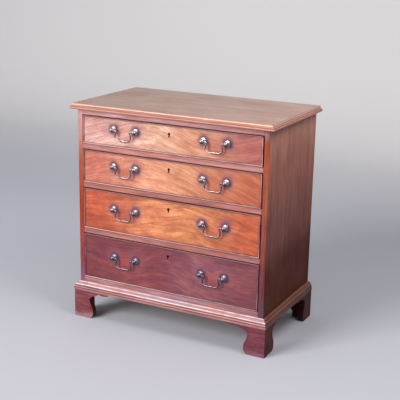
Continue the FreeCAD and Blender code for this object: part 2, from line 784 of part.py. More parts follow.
def make_cockbead(number):
    """Four strips mitred round the drawer front."""
    low, high = "drawer_lift", drawer_top(number)
    deep = (f"-cockbead_proud - {MARGIN}", f"{BEAD_BACK} + {MARGIN}")
    pieces = []
    for outer, inward in ((low, 1), (high, -1)):
        strip = new_body("level_bead")
        swapped = [(place_deep, place_up, *[-turn for turn in bulge])
                   for place_up, place_deep, *bulge in bead_section(outer, inward)]
        add(strip, "x", (f"-{DRAWER_HALF}", DRAWER_HALF), swapped)
        for side in (-1, 1):
            cut(strip, "y", deep, [
                (f"{side} * ({DRAWER_HALF} + {MARGIN})", f"{outer} - {inward} * {MARGIN}"),
                (f"{side} * ({DRAWER_HALF} - 2 * {MARGIN})", f"{outer} + {inward} * 2 * {MARGIN}"),
                (f"{side} * ({DRAWER_HALF} + {MARGIN})", f"{outer} + {inward} * 2 * {MARGIN}")])
        pieces.append(strip)
    upright = new_body("upright_bead")
    add(upright, "z", (low, high), bead_section(f"-{DRAWER_HALF}", 1))
    for outer, inward in ((low, 1), (high, -1)):
        cut(upright, "y", deep, [
            (f"-{DRAWER_HALF} - {MARGIN}", f"{outer} - {inward} * {MARGIN}"),
            (f"-{DRAWER_HALF} + 2 * {MARGIN}", f"{outer} + {inward} * 2 * {MARGIN}"),
            (f"-{DRAWER_HALF} + 2 * {MARGIN}", f"{outer} - {inward} * {MARGIN}")])
    pieces += [upright, mirrored("upright_bead_twin", upright)]
    place(group(f"drawer_{number}_cockbead", pieces), up=opening_floor(number))


def make_escutcheon(number):
    """A thin brass thread that lines the mouth of the keyhole."""
    body = new_body("escutcheon")
    for outline in keyhole(number, "escutcheon_wall"):
        add(body, "y", ("0", "escutcheon_depth"), outline)
    cut_keyhole(body, number, (f"-{MARGIN}", f"escutcheon_depth + {MARGIN}"))
    return body


def make_lock(number):
    """A lock case let into the back of the front, and the bolt that rises out of it."""
    top = drawer_top(number)
    near = "(front_thickness - lock_thickness)"
    middle = "(front_thickness - lock_thickness / 2)"
    case = new_body("lock_case")
    add(case, "y", (near, "front_thickness"),
        box_corners("-lock_width / 2", f"{top} - lock_height", "lock_width / 2", top))
    half_width = "(lock_bolt_width / 2 + lock_bolt_play)"
    half_depth = "(lock_bolt_thickness / 2 + lock_bolt_play)"
    bolt_foot = f"{top} - lock_bolt_sink - lock_bolt_height"
    cut(case, "z", (f"{bolt_foot} - lock_bolt_play", f"{top} + {MARGIN}"),
        box_corners(f"-{half_width}", f"{middle} - {half_depth}", half_width, f"{middle} + {half_depth}"))
    cut_keyhole(case, number, (f"{near} - {MARGIN}", "front_thickness - lock_back_plate"))
    place(group(f"drawer_{number}_lock", [case, make_escutcheon(number)]), up=opening_floor(number))
    bolt = block(f"drawer_{number}_lock_bolt",
                 ("-lock_bolt_width / 2", f"{middle} - lock_bolt_thickness / 2", bolt_foot),
                 ("lock_bolt_width / 2", f"{middle} + lock_bolt_thickness / 2", f"{top} - lock_bolt_sink"))
    bind(bolt, "Placement.Base.y", f"{FRONT} + {middle} - lock_bolt_thickness / 2")
    bind(bolt, "Placement.Base.z", f"{opening_floor(number)} + {bolt_foot}")


# --- handles ---------------------------------------------------------------------------

def handle_posts():
    """Places across the drawer of its four handle posts."""
    return [f"{side} * handle_place + {end} * handle_spacing / 2" for side in (-1, 1) for end in (-1, 1)]


def handle_height(number):
    return f"(opening_{number} / 2 + handle_rise)"


def make_post(inward):
    """A turned post: rose, neck, drilled ball and a shank that runs through the front."""
    body = new_body("post")
    end = "(front_thickness + post_nut_thickness + post_tip)"
    ovolo = "(rose_radius - rose_ovolo)"
    cove_foot = "(post_neck_radius + rose_cove)"
    turn(body, [
        ("0", end), ("0", "-handle_reach"), ("post_neck_radius", "-handle_reach"),
        ("post_neck_radius", "-rose_depth"),
        (cove_foot, "-rose_edge - rose_ovolo", -QUARTER_TURN),
        (ovolo, "-rose_edge - rose_ovolo"),
        ("rose_radius", "-rose_edge", QUARTER_TURN),
        ("rose_radius", "0"), ("post_shank_radius", "0"), ("post_shank_radius", end),
    ])
    turn(body, [
        ("0", "-post_ball_radius - handle_reach"),
        ("post_ball_radius", "-handle_reach", QUARTER_TURN),
        ("0", "post_ball_radius - handle_reach", QUARTER_TURN),
    ])
    depth = "post_ball_radius - pin_length - pin_end_gap"
    span = (depth, f"post_ball_radius + {MARGIN}")
    if inward < 0:
        span = (f"-({span[1]})", f"-({span[0]})")
    cut(body, "x", span, ("-handle_reach", "0", "pin_radius + pin_play"))
    return body


def make_nut():
    body = new_body("nut")
    half = "post_nut_width / 2"
    far = "front_thickness + post_nut_thickness"
    add(body, "y", ("front_thickness", far), box_corners(f"-{half}", f"-{half}", half, half))
    cut(body, "y", (f"front_thickness - {MARGIN}", f"{far} + {MARGIN}"), ("0", "0", "post_shank_radius"))
    return body


def make_handle_posts(number):
    pieces = []
    for index, across in enumerate(handle_posts()):
        inward = 1 if index % 2 == 0 else -1
        for piece in (make_post(inward), make_nut()):
            bind(piece, "Placement.Base.x", across)
            bind(piece, "Placement.Base.z", handle_height(number))
            pieces.append(piece)
    place(group(f"drawer_{number}_handle_posts", pieces), up=opening_floor(number))


def bail_path():
    """Left half, then right half, of the bail's centre line from pin to pin."""
    start = "(handle_spacing / 2 - post_ball_radius - pin_end_gap)"
    neck = "(handle_spacing / 2 - bail_neck)"
    hip = "(handle_spacing / 2 - bail_hip)"
    neck_low = "bail_neck_radius"
    hip_low = "(bail_drop - bail_corner_radius)"
    lean = (measure("bail_neck") - measure("bail_hip")) / (measure(hip_low) - measure(neck_low))
    sway = math.tan(math.atan(lean) / 2)
    left = [
        (f"-{start}", "0"),
        (f"-{neck} - bail_neck_radius", "0"),
        (f"-{neck}", f"-{neck_low}", -QUARTER_TURN),
        (f"-({neck} + {hip}) / 2", f"-({neck_low} + {hip_low}) / 2", -sway),
        (f"-{hip}", f"-{hip_low}", sway),
        (f"-{hip} + bail_corner_radius", "-bail_drop", QUARTER_TURN),
    ]
    right = []
    for index in range(len(left) - 1, -1, -1):
        across, up = left[index][:2]
        arriving = left[index + 1][2:] if index + 1 < len(left) else ()
        right.append((across[1:] if across.count("-") == 1 else f"-({across})", up, *arriving))
    return left + right


def make_bail(label, across, number):
    """A swan-neck bail: two pins, a bent rod and a swelling grip."""
    body = new_body(label)
    start = "(handle_spacing / 2 - post_ball_radius - pin_end_gap)"
    spine = sketch_across(body, "y", "0")
    draw(spine, bail_path(), closed=False)
    rod = sketch_across(body, "x", f"-{start}")
    draw_circle(rod, "0", "0", "bail_radius")
    sweep = body.newObject("PartDesign::AdditivePipe", "sweep")
    sweep.Profile = rod
    sweep.Spine = (spine, [])
    for span in ((f"-{start} - pin_length", f"-{start}"), (start, f"{start} + pin_length")):
        add(body, "x", span, ("0", "0", "pin_radius"))
    grip = sketch_across(body, "y", "0")
    bind(grip, "AttachmentOffset.Base.y", "-bail_drop")
    half = "grip_swell_length / 2"
    rise = math.tan(math.atan(measure("grip_swell_radius") / measure(half)) / 2)
    draw(grip, [(half, "0"), ("0", "grip_swell_radius", rise), (f"-{half}", "0", rise)])
    swell = body.newObject("PartDesign::Revolution", "swell")
    swell.Profile = grip
    swell.ReferenceAxis = (grip, ["H_Axis"])
    swell.Angle = 360
    place(body, across, "-handle_reach", f"{opening_floor(number)} + {handle_height(number)}")


def make_drawer(number):
    make_drawer_front(number)
    make_drawer_sides(number)
    make_drawer_back(number)
    make_drawer_bottom(number)
    make_cockbead(number)
    make_lock(number)
    make_handle_posts(number)
    make_bail(f"drawer_{number}_bail_left", "-handle_place", number)
    make_bail(f"drawer_{number}_bail_right", "handle_place", number)


# --- the chest -------------------------------------------------------------------------

DRAWER_PIECES = ("front", "sides", "back", "bottom", "cockbead", "lock", "lock_bolt", "handle_posts",
                 "bail_left", "bail_right")
CARCASS_PIECES = ("top_board", "left_side", "right_side", "bottom_board", "bottom_rail", "top_front_rail",
                  "top_rear_rail", "drawer_rail_1", "drawer_rail_2", "drawer_rail_3", "drawer_runners",
                  "dust_panels", "backboards", "drawer_stops", "base_moulding_front", "base_moulding_sides",
                  "foot_front_left", "foot_front_right", "foot_rear_left", "foot_rear_right")


def check_objects():
    """Stop if any object failed to compute."""
    for thing in doc.Objects:
        if "Invalid" in thing.State or "Error" in thing.State:
            raise RuntimeError(f"{thing.Name} failed: {thing.State}")


def write_parts():
    """Check each sub-part's shape, then write one STEP file for each."""
    labels = list(CARCASS_PIECES)
    labels += [f"drawer_{number}_{piece}" for number in DRAWERS for piece in DRAWER_PIECES]
    pieces = {label: doc.getObjectsByLabel(label)[0] for label in labels}
    for label, piece in pieces.items():
        if piece.Shape.isNull() or not piece.Shape.isValid() or not piece.Shape.Solids:
            raise RuntimeError(f"{label} has no valid solid")
    os.makedirs("parts", exist_ok=True)
    for label, piece in pieces.items():
        piece.Shape.exportStep(f"parts/{label}.step")


fill_sheet()
make_top_board()
make_sides()
make_rails()
make_bottom()
make_runners()
make_dust_panels()
make_backboards()
make_stops()
make_base_moulding()
make_feet()
for drawer in DRAWERS:
    make_drawer(drawer)
doc.recompute()
check_objects()
write_parts()
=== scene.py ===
import json
import math

import bmesh
import bpy
from mathutils import Matrix, Vector

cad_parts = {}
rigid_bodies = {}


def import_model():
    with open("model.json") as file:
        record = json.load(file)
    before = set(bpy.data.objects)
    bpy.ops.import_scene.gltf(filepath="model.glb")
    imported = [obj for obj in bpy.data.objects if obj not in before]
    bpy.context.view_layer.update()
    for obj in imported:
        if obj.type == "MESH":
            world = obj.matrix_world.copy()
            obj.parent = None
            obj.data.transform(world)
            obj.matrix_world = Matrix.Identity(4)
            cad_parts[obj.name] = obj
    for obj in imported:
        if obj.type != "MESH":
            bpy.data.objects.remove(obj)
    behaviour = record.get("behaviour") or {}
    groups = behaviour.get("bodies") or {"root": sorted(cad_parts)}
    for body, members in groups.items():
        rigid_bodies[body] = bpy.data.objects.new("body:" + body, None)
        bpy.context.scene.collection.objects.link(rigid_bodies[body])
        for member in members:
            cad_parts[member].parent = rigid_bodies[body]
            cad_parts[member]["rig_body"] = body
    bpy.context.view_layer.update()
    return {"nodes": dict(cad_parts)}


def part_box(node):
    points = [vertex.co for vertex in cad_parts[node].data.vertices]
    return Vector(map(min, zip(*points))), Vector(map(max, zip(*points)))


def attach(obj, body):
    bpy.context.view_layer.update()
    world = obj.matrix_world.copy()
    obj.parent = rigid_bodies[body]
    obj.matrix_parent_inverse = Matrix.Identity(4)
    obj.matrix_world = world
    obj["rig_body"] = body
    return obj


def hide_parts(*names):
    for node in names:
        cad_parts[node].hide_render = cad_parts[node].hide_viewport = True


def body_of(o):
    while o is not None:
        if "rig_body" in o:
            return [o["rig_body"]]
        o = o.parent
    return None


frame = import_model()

# A bachelor's chest in old waxed mahogany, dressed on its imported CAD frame. Metres, +Z up,
# the front faces -Y. The larger wooden nodes are replaced by copies whose sharp edges are
# eased. The cockbeads, the wood inside and the metalwork keep their CAD meshes.

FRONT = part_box("bottom_rail")[0].y
HALF_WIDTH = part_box("right_side")[1].x
MOULDING_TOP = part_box("base_moulding_front")[1].z
DRAWERS = range(1, 5)
RAILS = ("top_front_rail", "drawer_rail_1", "drawer_rail_2", "drawer_rail_3", "bottom_rail")


# --- colours ----------------------------------------------------------------------------

SCREEN_GAMMA = 2.2


def tint(*screen):
    """A paint colour given as a screen colour of 0 to 255."""
    return tuple((part / 255) ** SCREEN_GAMMA for part in screen)


def tints(*screens):
    return tuple(tint(*screen) for screen in screens)


# How far red, green and blue go along when old wood deepens: red goes the least far.
DEEPENING = (0.62, 1.0, 1.1)

PINE = tint(160, 126, 92)
OLD_PINE = tints((150, 116, 84), (172, 138, 102), (128, 96, 68))
OLD_OAK = tints((146, 112, 76), (166, 132, 94), (122, 92, 62))
# Grime, which also serves as the painted shade in the gaps beside the drawers.
GRIME_AND_GAP_SHADE = tint(56, 24, 18)
STAIN = tint(74, 40, 50)
RUST = tint(58, 40, 34)
RUBBED = tint(168, 66, 58)
SMEAR = tint(138, 84, 98)
MOTTLE = tint(134, 52, 34)
# Painted shade inside the keyholes.
KEYHOLE_PAINTED_SHADE = (0.012, 0.009, 0.008)


# --- node graphs ------------------------------------------------------------------------

class Finish:
    """A material's node graph. Most calls add nodes and give back an output socket."""

    def __init__(self, name, **constants):
        self.material = bpy.data.materials.new(name)
        self.material.use_nodes = True
        self.tree = self.material.node_tree
        self.shader = self.tree.nodes["Principled BSDF"]
        for socket, value in constants.items():
            self.shader.inputs[socket.replace("_", " ")].default_value = value
        source = self.tree.nodes.new("ShaderNodeTexCoord")
        self.place = source.outputs["Object"]
        self.x, self.y, self.z = self.axes(self.place)
        self.facing_x, self.facing_y, self.facing_z = self.axes(source.outputs["Normal"])

    def put(self, socket, value):
        """Gives an input its value, which is a constant or another node's output."""
        if isinstance(value, bpy.types.NodeSocket):
            self.tree.links.new(value, socket)
        elif socket.type == "RGBA":
            socket.default_value = (*value, 1)
        else:
            socket.default_value = value

    def fill(self, node, *values):
        """Gives the node's first inputs these values, and gives back its first output."""
        for socket, value in zip(node.inputs, values):
            self.put(socket, value)
        return node.outputs[0]

    def axes(self, vector):
        node = self.tree.nodes.new("ShaderNodeSeparateXYZ")
        self.fill(node, vector)
        return node.outputs

    def point(self, x, y, z):
        return self.fill(self.tree.nodes.new("ShaderNodeCombineXYZ"), x, y, z)

    def vector(self, operation, *values):
        node = self.tree.nodes.new("ShaderNodeVectorMath")
        node.operation = operation
        return self.fill(node, *values)

    def math(self, operation, *values):
        node = self.tree.nodes.new("ShaderNodeMath")
        node.operation = operation
        return self.fill(node, *values)

    def size(self, value):
        return self.math("ABSOLUTE", value)

    def minus(self, first, second):
        return self.math("SUBTRACT", first, second)

    def plus_part(self, base, value, part):
        """The base with a part of the value added."""
        return self.math("MULTIPLY_ADD", value, part, base)

    def times(self, product, *factors):
        for factor in factors:
            product = self.math("MULTIPLY", product, factor)
        return product

    def least(self, lowest, *others):
        for other in others:
            lowest = self.math("MINIMUM", lowest, other)
        return lowest

    def reach(self, across, up):
        """The straight distance of a step that goes across and up."""
        return self.math("SQRT", self.plus_part(self.times(up, up), across, across))

    def below(self, value, limit):
        """1 while the value is less than the limit, 0 elsewhere."""
        return self.math("LESS_THAN", value, limit)

    def within(self, value, low, high):
        """1 while the value is between low and high, 0 elsewhere."""
        return self.math("COMPARE", value, (low + high) / 2, (high - low) / 2)

    def step(self, value, low, high, start=0.0, end=1.0):
        """Goes smoothly from start to end while the value goes from low to high."""
        node = self.tree.nodes.new("ShaderNodeMapRange")
        node.interpolation_type = "SMOOTHSTEP"
        return self.fill(node, value, low, high, start, end)

    def noise(self, vector, scale, detail=2.0, roughness=0.5, output="Fac"):
        node = self.tree.nodes.new("ShaderNodeTexNoise")
        self.fill(node, vector)
        node.inputs["Scale"].default_value = scale
        node.inputs["Detail"].default_value = detail
        node.inputs["Roughness"].default_value = roughness
        return node.outputs[output]

    def mix(self, factor, first, second):
        node = self.tree.nodes.new("ShaderNodeMix")
        node.data_type = "RGBA"
        self.fill(node, factor)
        sockets = [socket for socket in node.inputs if socket.type == "RGBA"]
        for socket, colour in zip(sockets, (first, second)):
            self.put(socket, colour)
        return next(socket for socket in node.outputs if socket.type == "RGBA")

    def ramp(self, value, places, colours):
        """A colour that changes smoothly through the colours, each reached at its place."""
        node = self.tree.nodes.new("ShaderNodeValToRGB")
        ramp = node.color_ramp
        ramp.interpolation = "EASE"
        while len(ramp.elements) < len(places):
            ramp.elements.new(0.5)
        for element, place, colour in zip(ramp.elements, places, colours):
            element.position = place
            element.color = (*colour, 1)
        return self.fill(node, value)

    def shade(self, colour, amount):
        """The colour made darker or lighter by an amount around 1."""
        node = self.tree.nodes.new("ShaderNodeVectorMath")
        node.operation = "SCALE"
        self.put(node.inputs["Scale"], amount)
        return self.fill(node, colour)

    def deepen(self, colour, value, low, high, depth, shares):
        """Lets the colour go from deeper to paler as the value goes from low to high."""
        deep, pale = (tuple(1 + side * depth * share for share in shares) for side in (-1, 1))
        amounts = self.mix(self.step(value, low, high), deep, pale)
        return self.vector("MULTIPLY", colour, amounts)

    def bump(self, height, distance):
        node = self.tree.nodes.new("ShaderNodeBump")
        node.inputs["Distance"].default_value = distance
        self.put(node.inputs["Height"], height)
        return node.outputs[0]

    def done(self, colour, roughness=None, normal=None):
        """Gives the shader its inputs, and gives back the material."""
        inputs = {"Base Color": colour, "Roughness": roughness, "Normal": normal}
        for socket, value in inputs.items():
            if value is not None:
                self.put(self.shader.inputs[socket], value)
        return self.material


# --- wood -------------------------------------------------------------------------------

# Repeats per metre of each layer of the grain, along it and across it.
BANDS = (2.0, 34.0)
STREAKS = (9.0, 150.0)
FIBRES = (16.0, 420.0)
PORES = (60.0, 1500.0)
WARM_STREAKS = (8.0, 110.0)

FIBRE_DEPTH = 0.14
PORE_SHADE = 0.72
WAX_RELIEF = 0.00012
BARE_RELIEF = 0.0003


def drawn_out(finish, place, grain, repeats, detail, roughness=0.5):
    """A noise drawn out along one axis."""
    along, across = repeats
    scales = tuple(along if axis == grain else across for axis in "xyz")
    return finish.noise(finish.vector("MULTIPLY", place, scales), 1.0, detail, roughness)


def drifted(finish, place, swirl):
    """The place pushed about by a slow drift, so that straight grain wavers."""
    drift = finish.noise(place, scale=3.0, detail=3.0, output="Color")
    return finish.vector("MULTIPLY_ADD", drift, (swirl, swirl, swirl), place)


def grained(finish, place, grain, colour, figure, swirl=0.02, shares=DEEPENING):
    """The colour with growth bands, streaks, fibres and pores; also the fibres, for the bump."""
    place = drifted(finish, place, swirl)
    bands = drawn_out(finish, place, grain, BANDS, detail=5.0, roughness=0.62)
    streaks = drawn_out(finish, place, grain, STREAKS, detail=3.0, roughness=0.6)
    fibres = drawn_out(finish, place, grain, FIBRES, detail=3.0, roughness=0.6)
    pores = drawn_out(finish, place, grain, PORES, detail=1.0)
    depth = figure * 1.2
    shaded = finish.deepen(colour, bands, 0.3, 0.7, depth, shares)
    shaded = finish.deepen(shaded, streaks, 0.34, 0.66, depth, shares)
    shaded = finish.deepen(shaded, fibres, 0.3, 0.7, FIBRE_DEPTH, shares)
    shaded = finish.shade(shaded, finish.step(pores, 0.6, 0.72, 1.0, PORE_SHADE))
    return shaded, fibres


def waxed(finish, colour, fibres, rough=0.34):
    """Old wax over the grain: a soft gloss, uneven with smears and broken by the fibres."""
    smears = finish.noise(finish.place, scale=9.0, detail=3.0)
    gloss = finish.plus_part(rough, finish.step(smears, 0.35, 0.7), 0.12)
    return finish.done(colour, gloss, finish.bump(fibres, WAX_RELIEF))


def patchy(finish, colours, scale=4.0):
    """Broad uneven fading between three colours."""
    patches = finish.noise(finish.place, scale, detail=4.0, roughness=0.55)
    return finish.ramp(patches, (0.32, 0.5, 0.68), colours)


def warmed(finish, colour, warm):
    """Breaks the colour with streaks where the old polish has kept its warmth."""
    streaks = drawn_out(finish, finish.place, "x", WARM_STREAKS, detail=3.0, roughness=0.6)
    return finish.mix(finish.step(streaks, 0.44, 0.62, 0.0, 0.62), colour, warm)


def secondary_wood(name, grain, colours, rough=0.75):
    """The bare wood of the inside."""
    finish = Finish(name)
    colour, fibres = grained(finish, finish.place, grain, patchy(finish, colours), 0.22)
    return finish.done(colour, rough, finish.bump(fibres, BARE_RELIEF))


BOARD_COUNT = 4
# Each backboard takes its grain from a place this far from its neighbour's.
BOARD_SHIFT = 5.3
# The nails stand this far to each side of a board's middle, level with these nodes.
NAIL_ASIDE = 0.055
NAILED = ("bottom_board", "drawer_rail_2", "top_rear_rail")
# Radii between which a nail's head, and the rust round it, fade out.
NAIL_HEAD = (0.0028, 0.0036)
NAIL_RUST = (0.004, 0.011)


def back_pine():
    """Upright backboards, each of its own tone, with rusty nail heads driven flush."""
    finish = Finish("pine_upright", Roughness=0.8)
    low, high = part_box("backboards")
    pitch = (high.x - low.x) / BOARD_COUNT
    boards = finish.math("DIVIDE", finish.minus(finish.x, low.x), pitch)
    number = finish.math("FLOOR", boards)
    own = finish.point(finish.x, finish.times(number, BOARD_SHIFT), finish.z)
    tone = finish.noise(finish.point(number, 0.5, 0.5), scale=3.7, detail=0.0)
    colour, fibres = grained(finish, own, "z", patchy(finish, OLD_PINE, 3.0), 0.24, 0.05)
    colour = finish.shade(colour, finish.step(tone, 0.3, 0.7, 0.78, 1.12))
    across = finish.times(finish.minus(finish.math("FRACT", boards), 0.5), pitch)
    aside = finish.minus(finish.size(across), NAIL_ASIDE)
    rows = [(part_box(name)[0].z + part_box(name)[1].z) / 2 for name in NAILED]
    away = [finish.size(finish.minus(finish.z, row)) for row in rows]
    reach = finish.reach(aside, finish.least(*away))
    colour = finish.mix(finish.step(reach, *NAIL_RUST, 0.5, 0.0), colour, RUST)
    colour = finish.mix(finish.step(reach, *NAIL_HEAD, 0.9, 0.0), colour, RUST)
    return finish.done(colour, normal=finish.bump(fibres, BARE_RELIEF))


# How far a veneer's seam blurs, and how far behind the front the grime and painted shade in gaps
# reach.
GLUE_LINE = 0.0002
GAP_GRIME_AND_SHADE_DEPTH = 0.016


def from_front(finish, depths, start=0.0, end=1.0):
    """Goes smoothly from start to end between two depths behind the front."""
    return finish.step(finish.y, *(FRONT + depth for depth in depths), start, end)


def faced(finish, veneer, depth):
    """The veneer's colour over its thickness behind the front, and pine behind that."""
    behind = from_front(finish, (depth - GLUE_LINE, depth + GLUE_LINE))
    return finish.mix(behind, veneer, PINE)


def gap_grime_and_shade(finish, colour):
    """Darkens what faces a gap beside a drawer, from the front to a little way in, with grime and
    painted shade.
    """
    sideways = finish.step(finish.size(finish.facing_y), 0.3, 0.7, 1.0, 0.0)
    near = from_front(finish, (GAP_GRIME_AND_SHADE_DEPTH / 2, GAP_GRIME_AND_SHADE_DEPTH), 1.0, 0.0)
    return finish.mix(finish.times(sideways, near), colour, GRIME_AND_GAP_SHADE)


# --- the drawer fronts ------------------------------------------------------------------

# Each veneer's tones from left to right, and how its grain bends: it waves with this slope
# and length about a turning line, and drifts by its swirl. Figure, streaks, clouds and
# mottle are the strengths of its broad flames, fine streaks, patches and red flecks. Shares
# say how far red, green and blue go along with the first three.
VENEERS = {
    1: dict(tones=tints((196, 147, 138), (206, 157, 132), (197, 134, 101), (158, 85, 74)),
            turn=-0.10, wave=0.62, slope=0.42, swirl=0.06,
            figure=0.24, streaks=0.18, clouds=0.12, mottle=0.16, shares=DEEPENING),
    2: dict(tones=tints((176, 97, 77), (205, 137, 106), (190, 123, 86), (170, 86, 54)),
            turn=-0.14, wave=1.2, slope=0.45, swirl=0.05,
            figure=0.2, streaks=0.17, clouds=0.12, mottle=0.22, shares=DEEPENING),
    3: dict(tones=tints((168, 72, 38), (192, 113, 72), (193, 119, 74), (176, 83, 45)),
            turn=0.02, wave=0.8, slope=0.2, swirl=0.06,
            figure=0.22, streaks=0.2, clouds=0.2, mottle=0.44, shares=DEEPENING),
    4: dict(tones=tints((111, 46, 52), (121, 53, 58), (125, 69, 77), (112, 54, 62)),
            turn=0.0, wave=0.5, slope=0.22, swirl=0.08,
            figure=0.3, streaks=0.22, clouds=0.16, mottle=0.2, shares=(0.72, 1.0, 0.4)),
}
TONE_PLACES = (0.06, 0.42, 0.64, 0.94)
TONE_WANDER = 0.16
FLAMES = (6.0, 28.0)
FLECKS = (16.0, 38.0)
VENEER_THICKNESS = 0.0015

POST_SPACING = 0.090
# The rubbing round a bail is an oval of this half width and half height, whose middle is
# this far below the posts.
RUB_WIDE = 0.046
RUB_TALL = 0.030
RUB_DROP = 0.014
# Distances between which the stains round the posts, and the grime in from the front's
# edges, fade out.
POST_SMEAR = (0.034, 0.080)
POST_STAIN = (0.016, 0.033)
EDGE_STAIN = (0.003, 0.010)

# The keyhole's eye is KEY_DROP below its lock's top. The painted shade inside begins KEY_LOW below
# the eye and KEY_INSET behind the front's face.
KEY_DROP = 0.031
KEY_LOW = 0.0135
KEY_TALL = 0.020
KEY_HALF_WIDTH = 0.006
KEY_INSET = 0.0004


def post_height(number):
    low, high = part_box(f"drawer_{number}_handle_posts")
    return (low.z + high.z) / 2


def grip_middle(number):
    """How far each handle's middle stands from the drawer's middle."""
    low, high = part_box(f"drawer_{number}_bail_right")
    return (low.x + high.x) / 2


def key_height(number):
    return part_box(f"drawer_{number}_lock")[1].z - KEY_DROP


def bent_place(finish, turn, wave, slope):
    """The place bent so that the grain rises up to its turning line and falls beyond it."""
    turns = 2 * math.pi / wave
    swing = finish.math("COSINE", finish.plus_part(-turns * turn, finish.x, turns))
    return finish.point(finish.x, finish.y, finish.plus_part(finish.z, swing, -slope / turns))


def distance_to_posts(finish, number):
    """Metres to the nearest post, and shares of the way out to the rim of a bail's oval."""
    from_pair = finish.size(finish.minus(finish.size(finish.x), grip_middle(number)))
    rise = finish.minus(finish.z, post_height(number))
    near = finish.reach(finish.minus(from_pair, POST_SPACING / 2), rise)
    wide = finish.math("DIVIDE", from_pair, RUB_WIDE)
    tall = finish.math("DIVIDE", finish.math("ADD", rise, RUB_DROP), RUB_TALL)
    return near, finish.reach(wide, tall)


def height_inward(finish, low, high):
    """Distance inward from the nearer of a bottom and a top edge."""
    return finish.least(finish.minus(finish.z, low.z), finish.minus(high.z, finish.z))


def figured(finish, veneer, width, wander):
    """The veneer's tones with its flames, patches, streaks and flecks; also its fibres."""
    shares = veneer["shares"]
    along = finish.plus_part(0.5 - TONE_WANDER / 2, finish.x, 1 / width)
    along = finish.plus_part(along, wander, TONE_WANDER)
    colour = finish.ramp(along, TONE_PLACES, veneer["tones"])
    place = bent_place(finish, veneer["turn"], veneer["wave"], veneer["slope"])
    place = drifted(finish, place, veneer["swirl"])
    flames = drawn_out(finish, place, "x", FLAMES, detail=6.0, roughness=0.68)
    colour = finish.deepen(colour, flames, 0.36, 0.66, veneer["figure"], shares)
    clouds = finish.noise(finish.place, scale=24.0, detail=4.0, roughness=0.6)
    colour = finish.deepen(colour, clouds, 0.32, 0.68, veneer["clouds"], shares)
    colour, fibres = grained(finish, place, "x", colour, veneer["streaks"], shares=shares)
    flecks = drawn_out(finish, place, "x", FLECKS, detail=3.0, roughness=0.6)
    colour = finish.mix(finish.step(flecks, 0.46, 0.68, 0.0, veneer["mottle"]), colour, MOTTLE)
    return colour, fibres


def drawer_veneer(number):
    """Figured veneer, rubbed under the bails, stained round the posts and grimy at its edges, with
    grime and painted shade where it faces the gaps and painted shade in its keyhole.
    """
    finish = Finish(f"veneer_{number}", Coat_Weight=0.25, Coat_Roughness=0.18)
    low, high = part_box(f"drawer_{number}_front")
    wander = finish.noise(finish.place, scale=6.0, detail=3.0)
    colour, fibres = figured(finish, VENEERS[number], high.x - low.x, wander)
    near, outward = distance_to_posts(finish, number)
    ragged = finish.noise(finish.place, scale=60.0, detail=3.0)
    near = finish.plus_part(near, ragged, 0.010)
    smeared = finish.plus_part(near, wander, 0.05)
    colour = finish.mix(finish.step(outward, 0.4, 1.15, 0.34, 0.0), colour, RUBBED)
    colour = finish.mix(finish.step(smeared, *POST_SMEAR, 0.5, 0.0), colour, SMEAR)
    colour = finish.mix(finish.step(near, *POST_STAIN, 0.85, 0.0), colour, STAIN)
    inward = finish.least(finish.minus(high.x, finish.size(finish.x)),
                          height_inward(finish, low, high))
    inward = finish.plus_part(inward, ragged, 0.002)
    colour = finish.mix(finish.step(inward, *EDGE_STAIN, 0.7, 0.0), colour, STAIN)
    colour = gap_grime_and_shade(finish, faced(finish, colour, VENEER_THICKNESS))
    colour = finish.mix(keyhole_shade(finish, number), colour, KEYHOLE_PAINTED_SHADE)
    return waxed(finish, colour, fibres, 0.3)


def keyhole_shade(finish, number):
    """1 inside the keyhole behind the front's face, where its shade is painted, 0 elsewhere."""
    low = key_height(number) - KEY_LOW
    return finish.times(finish.below(finish.size(finish.x), KEY_HALF_WIDTH),
                        finish.math("GREATER_THAN", finish.y, FRONT + KEY_INSET),
                        finish.math("GREATER_THAN", finish.z, low),
                        finish.below(finish.z, low + KEY_TALL))


# Each drawer's cockbeads where they are worn palest and where they are rubbed darker.
BEAD_TONES = {
    1: tints((206, 158, 160), (140, 92, 96)),
    2: tints((188, 138, 132), (132, 84, 82)),
    3: tints((184, 134, 130), (124, 74, 68)),
    4: tints((154, 112, 122), (98, 60, 68)),
}
# A bead's flanks dark with grime and painted shade, a painted shadow along its top under the rail,
# and a painted highlight along its bottom.
BEAD_FLANK_GRIME_AND_SHADE = tint(72, 42, 50)
BEAD_TOP_PAINTED_SHADOW = tint(122, 76, 74)
BEAD_BOTTOM_PAINTED_HIGHLIGHT = tint(214, 164, 156)
# How far the strips along the top and the bottom reach in: fully, and at the most.
BEAD_STRIP = (0.003, 0.004)
# How far behind its nose a bead is still pale with wear and painted highlight: fully, and at the
# most.
BEAD_NOSE = (0.0003, 0.0014)


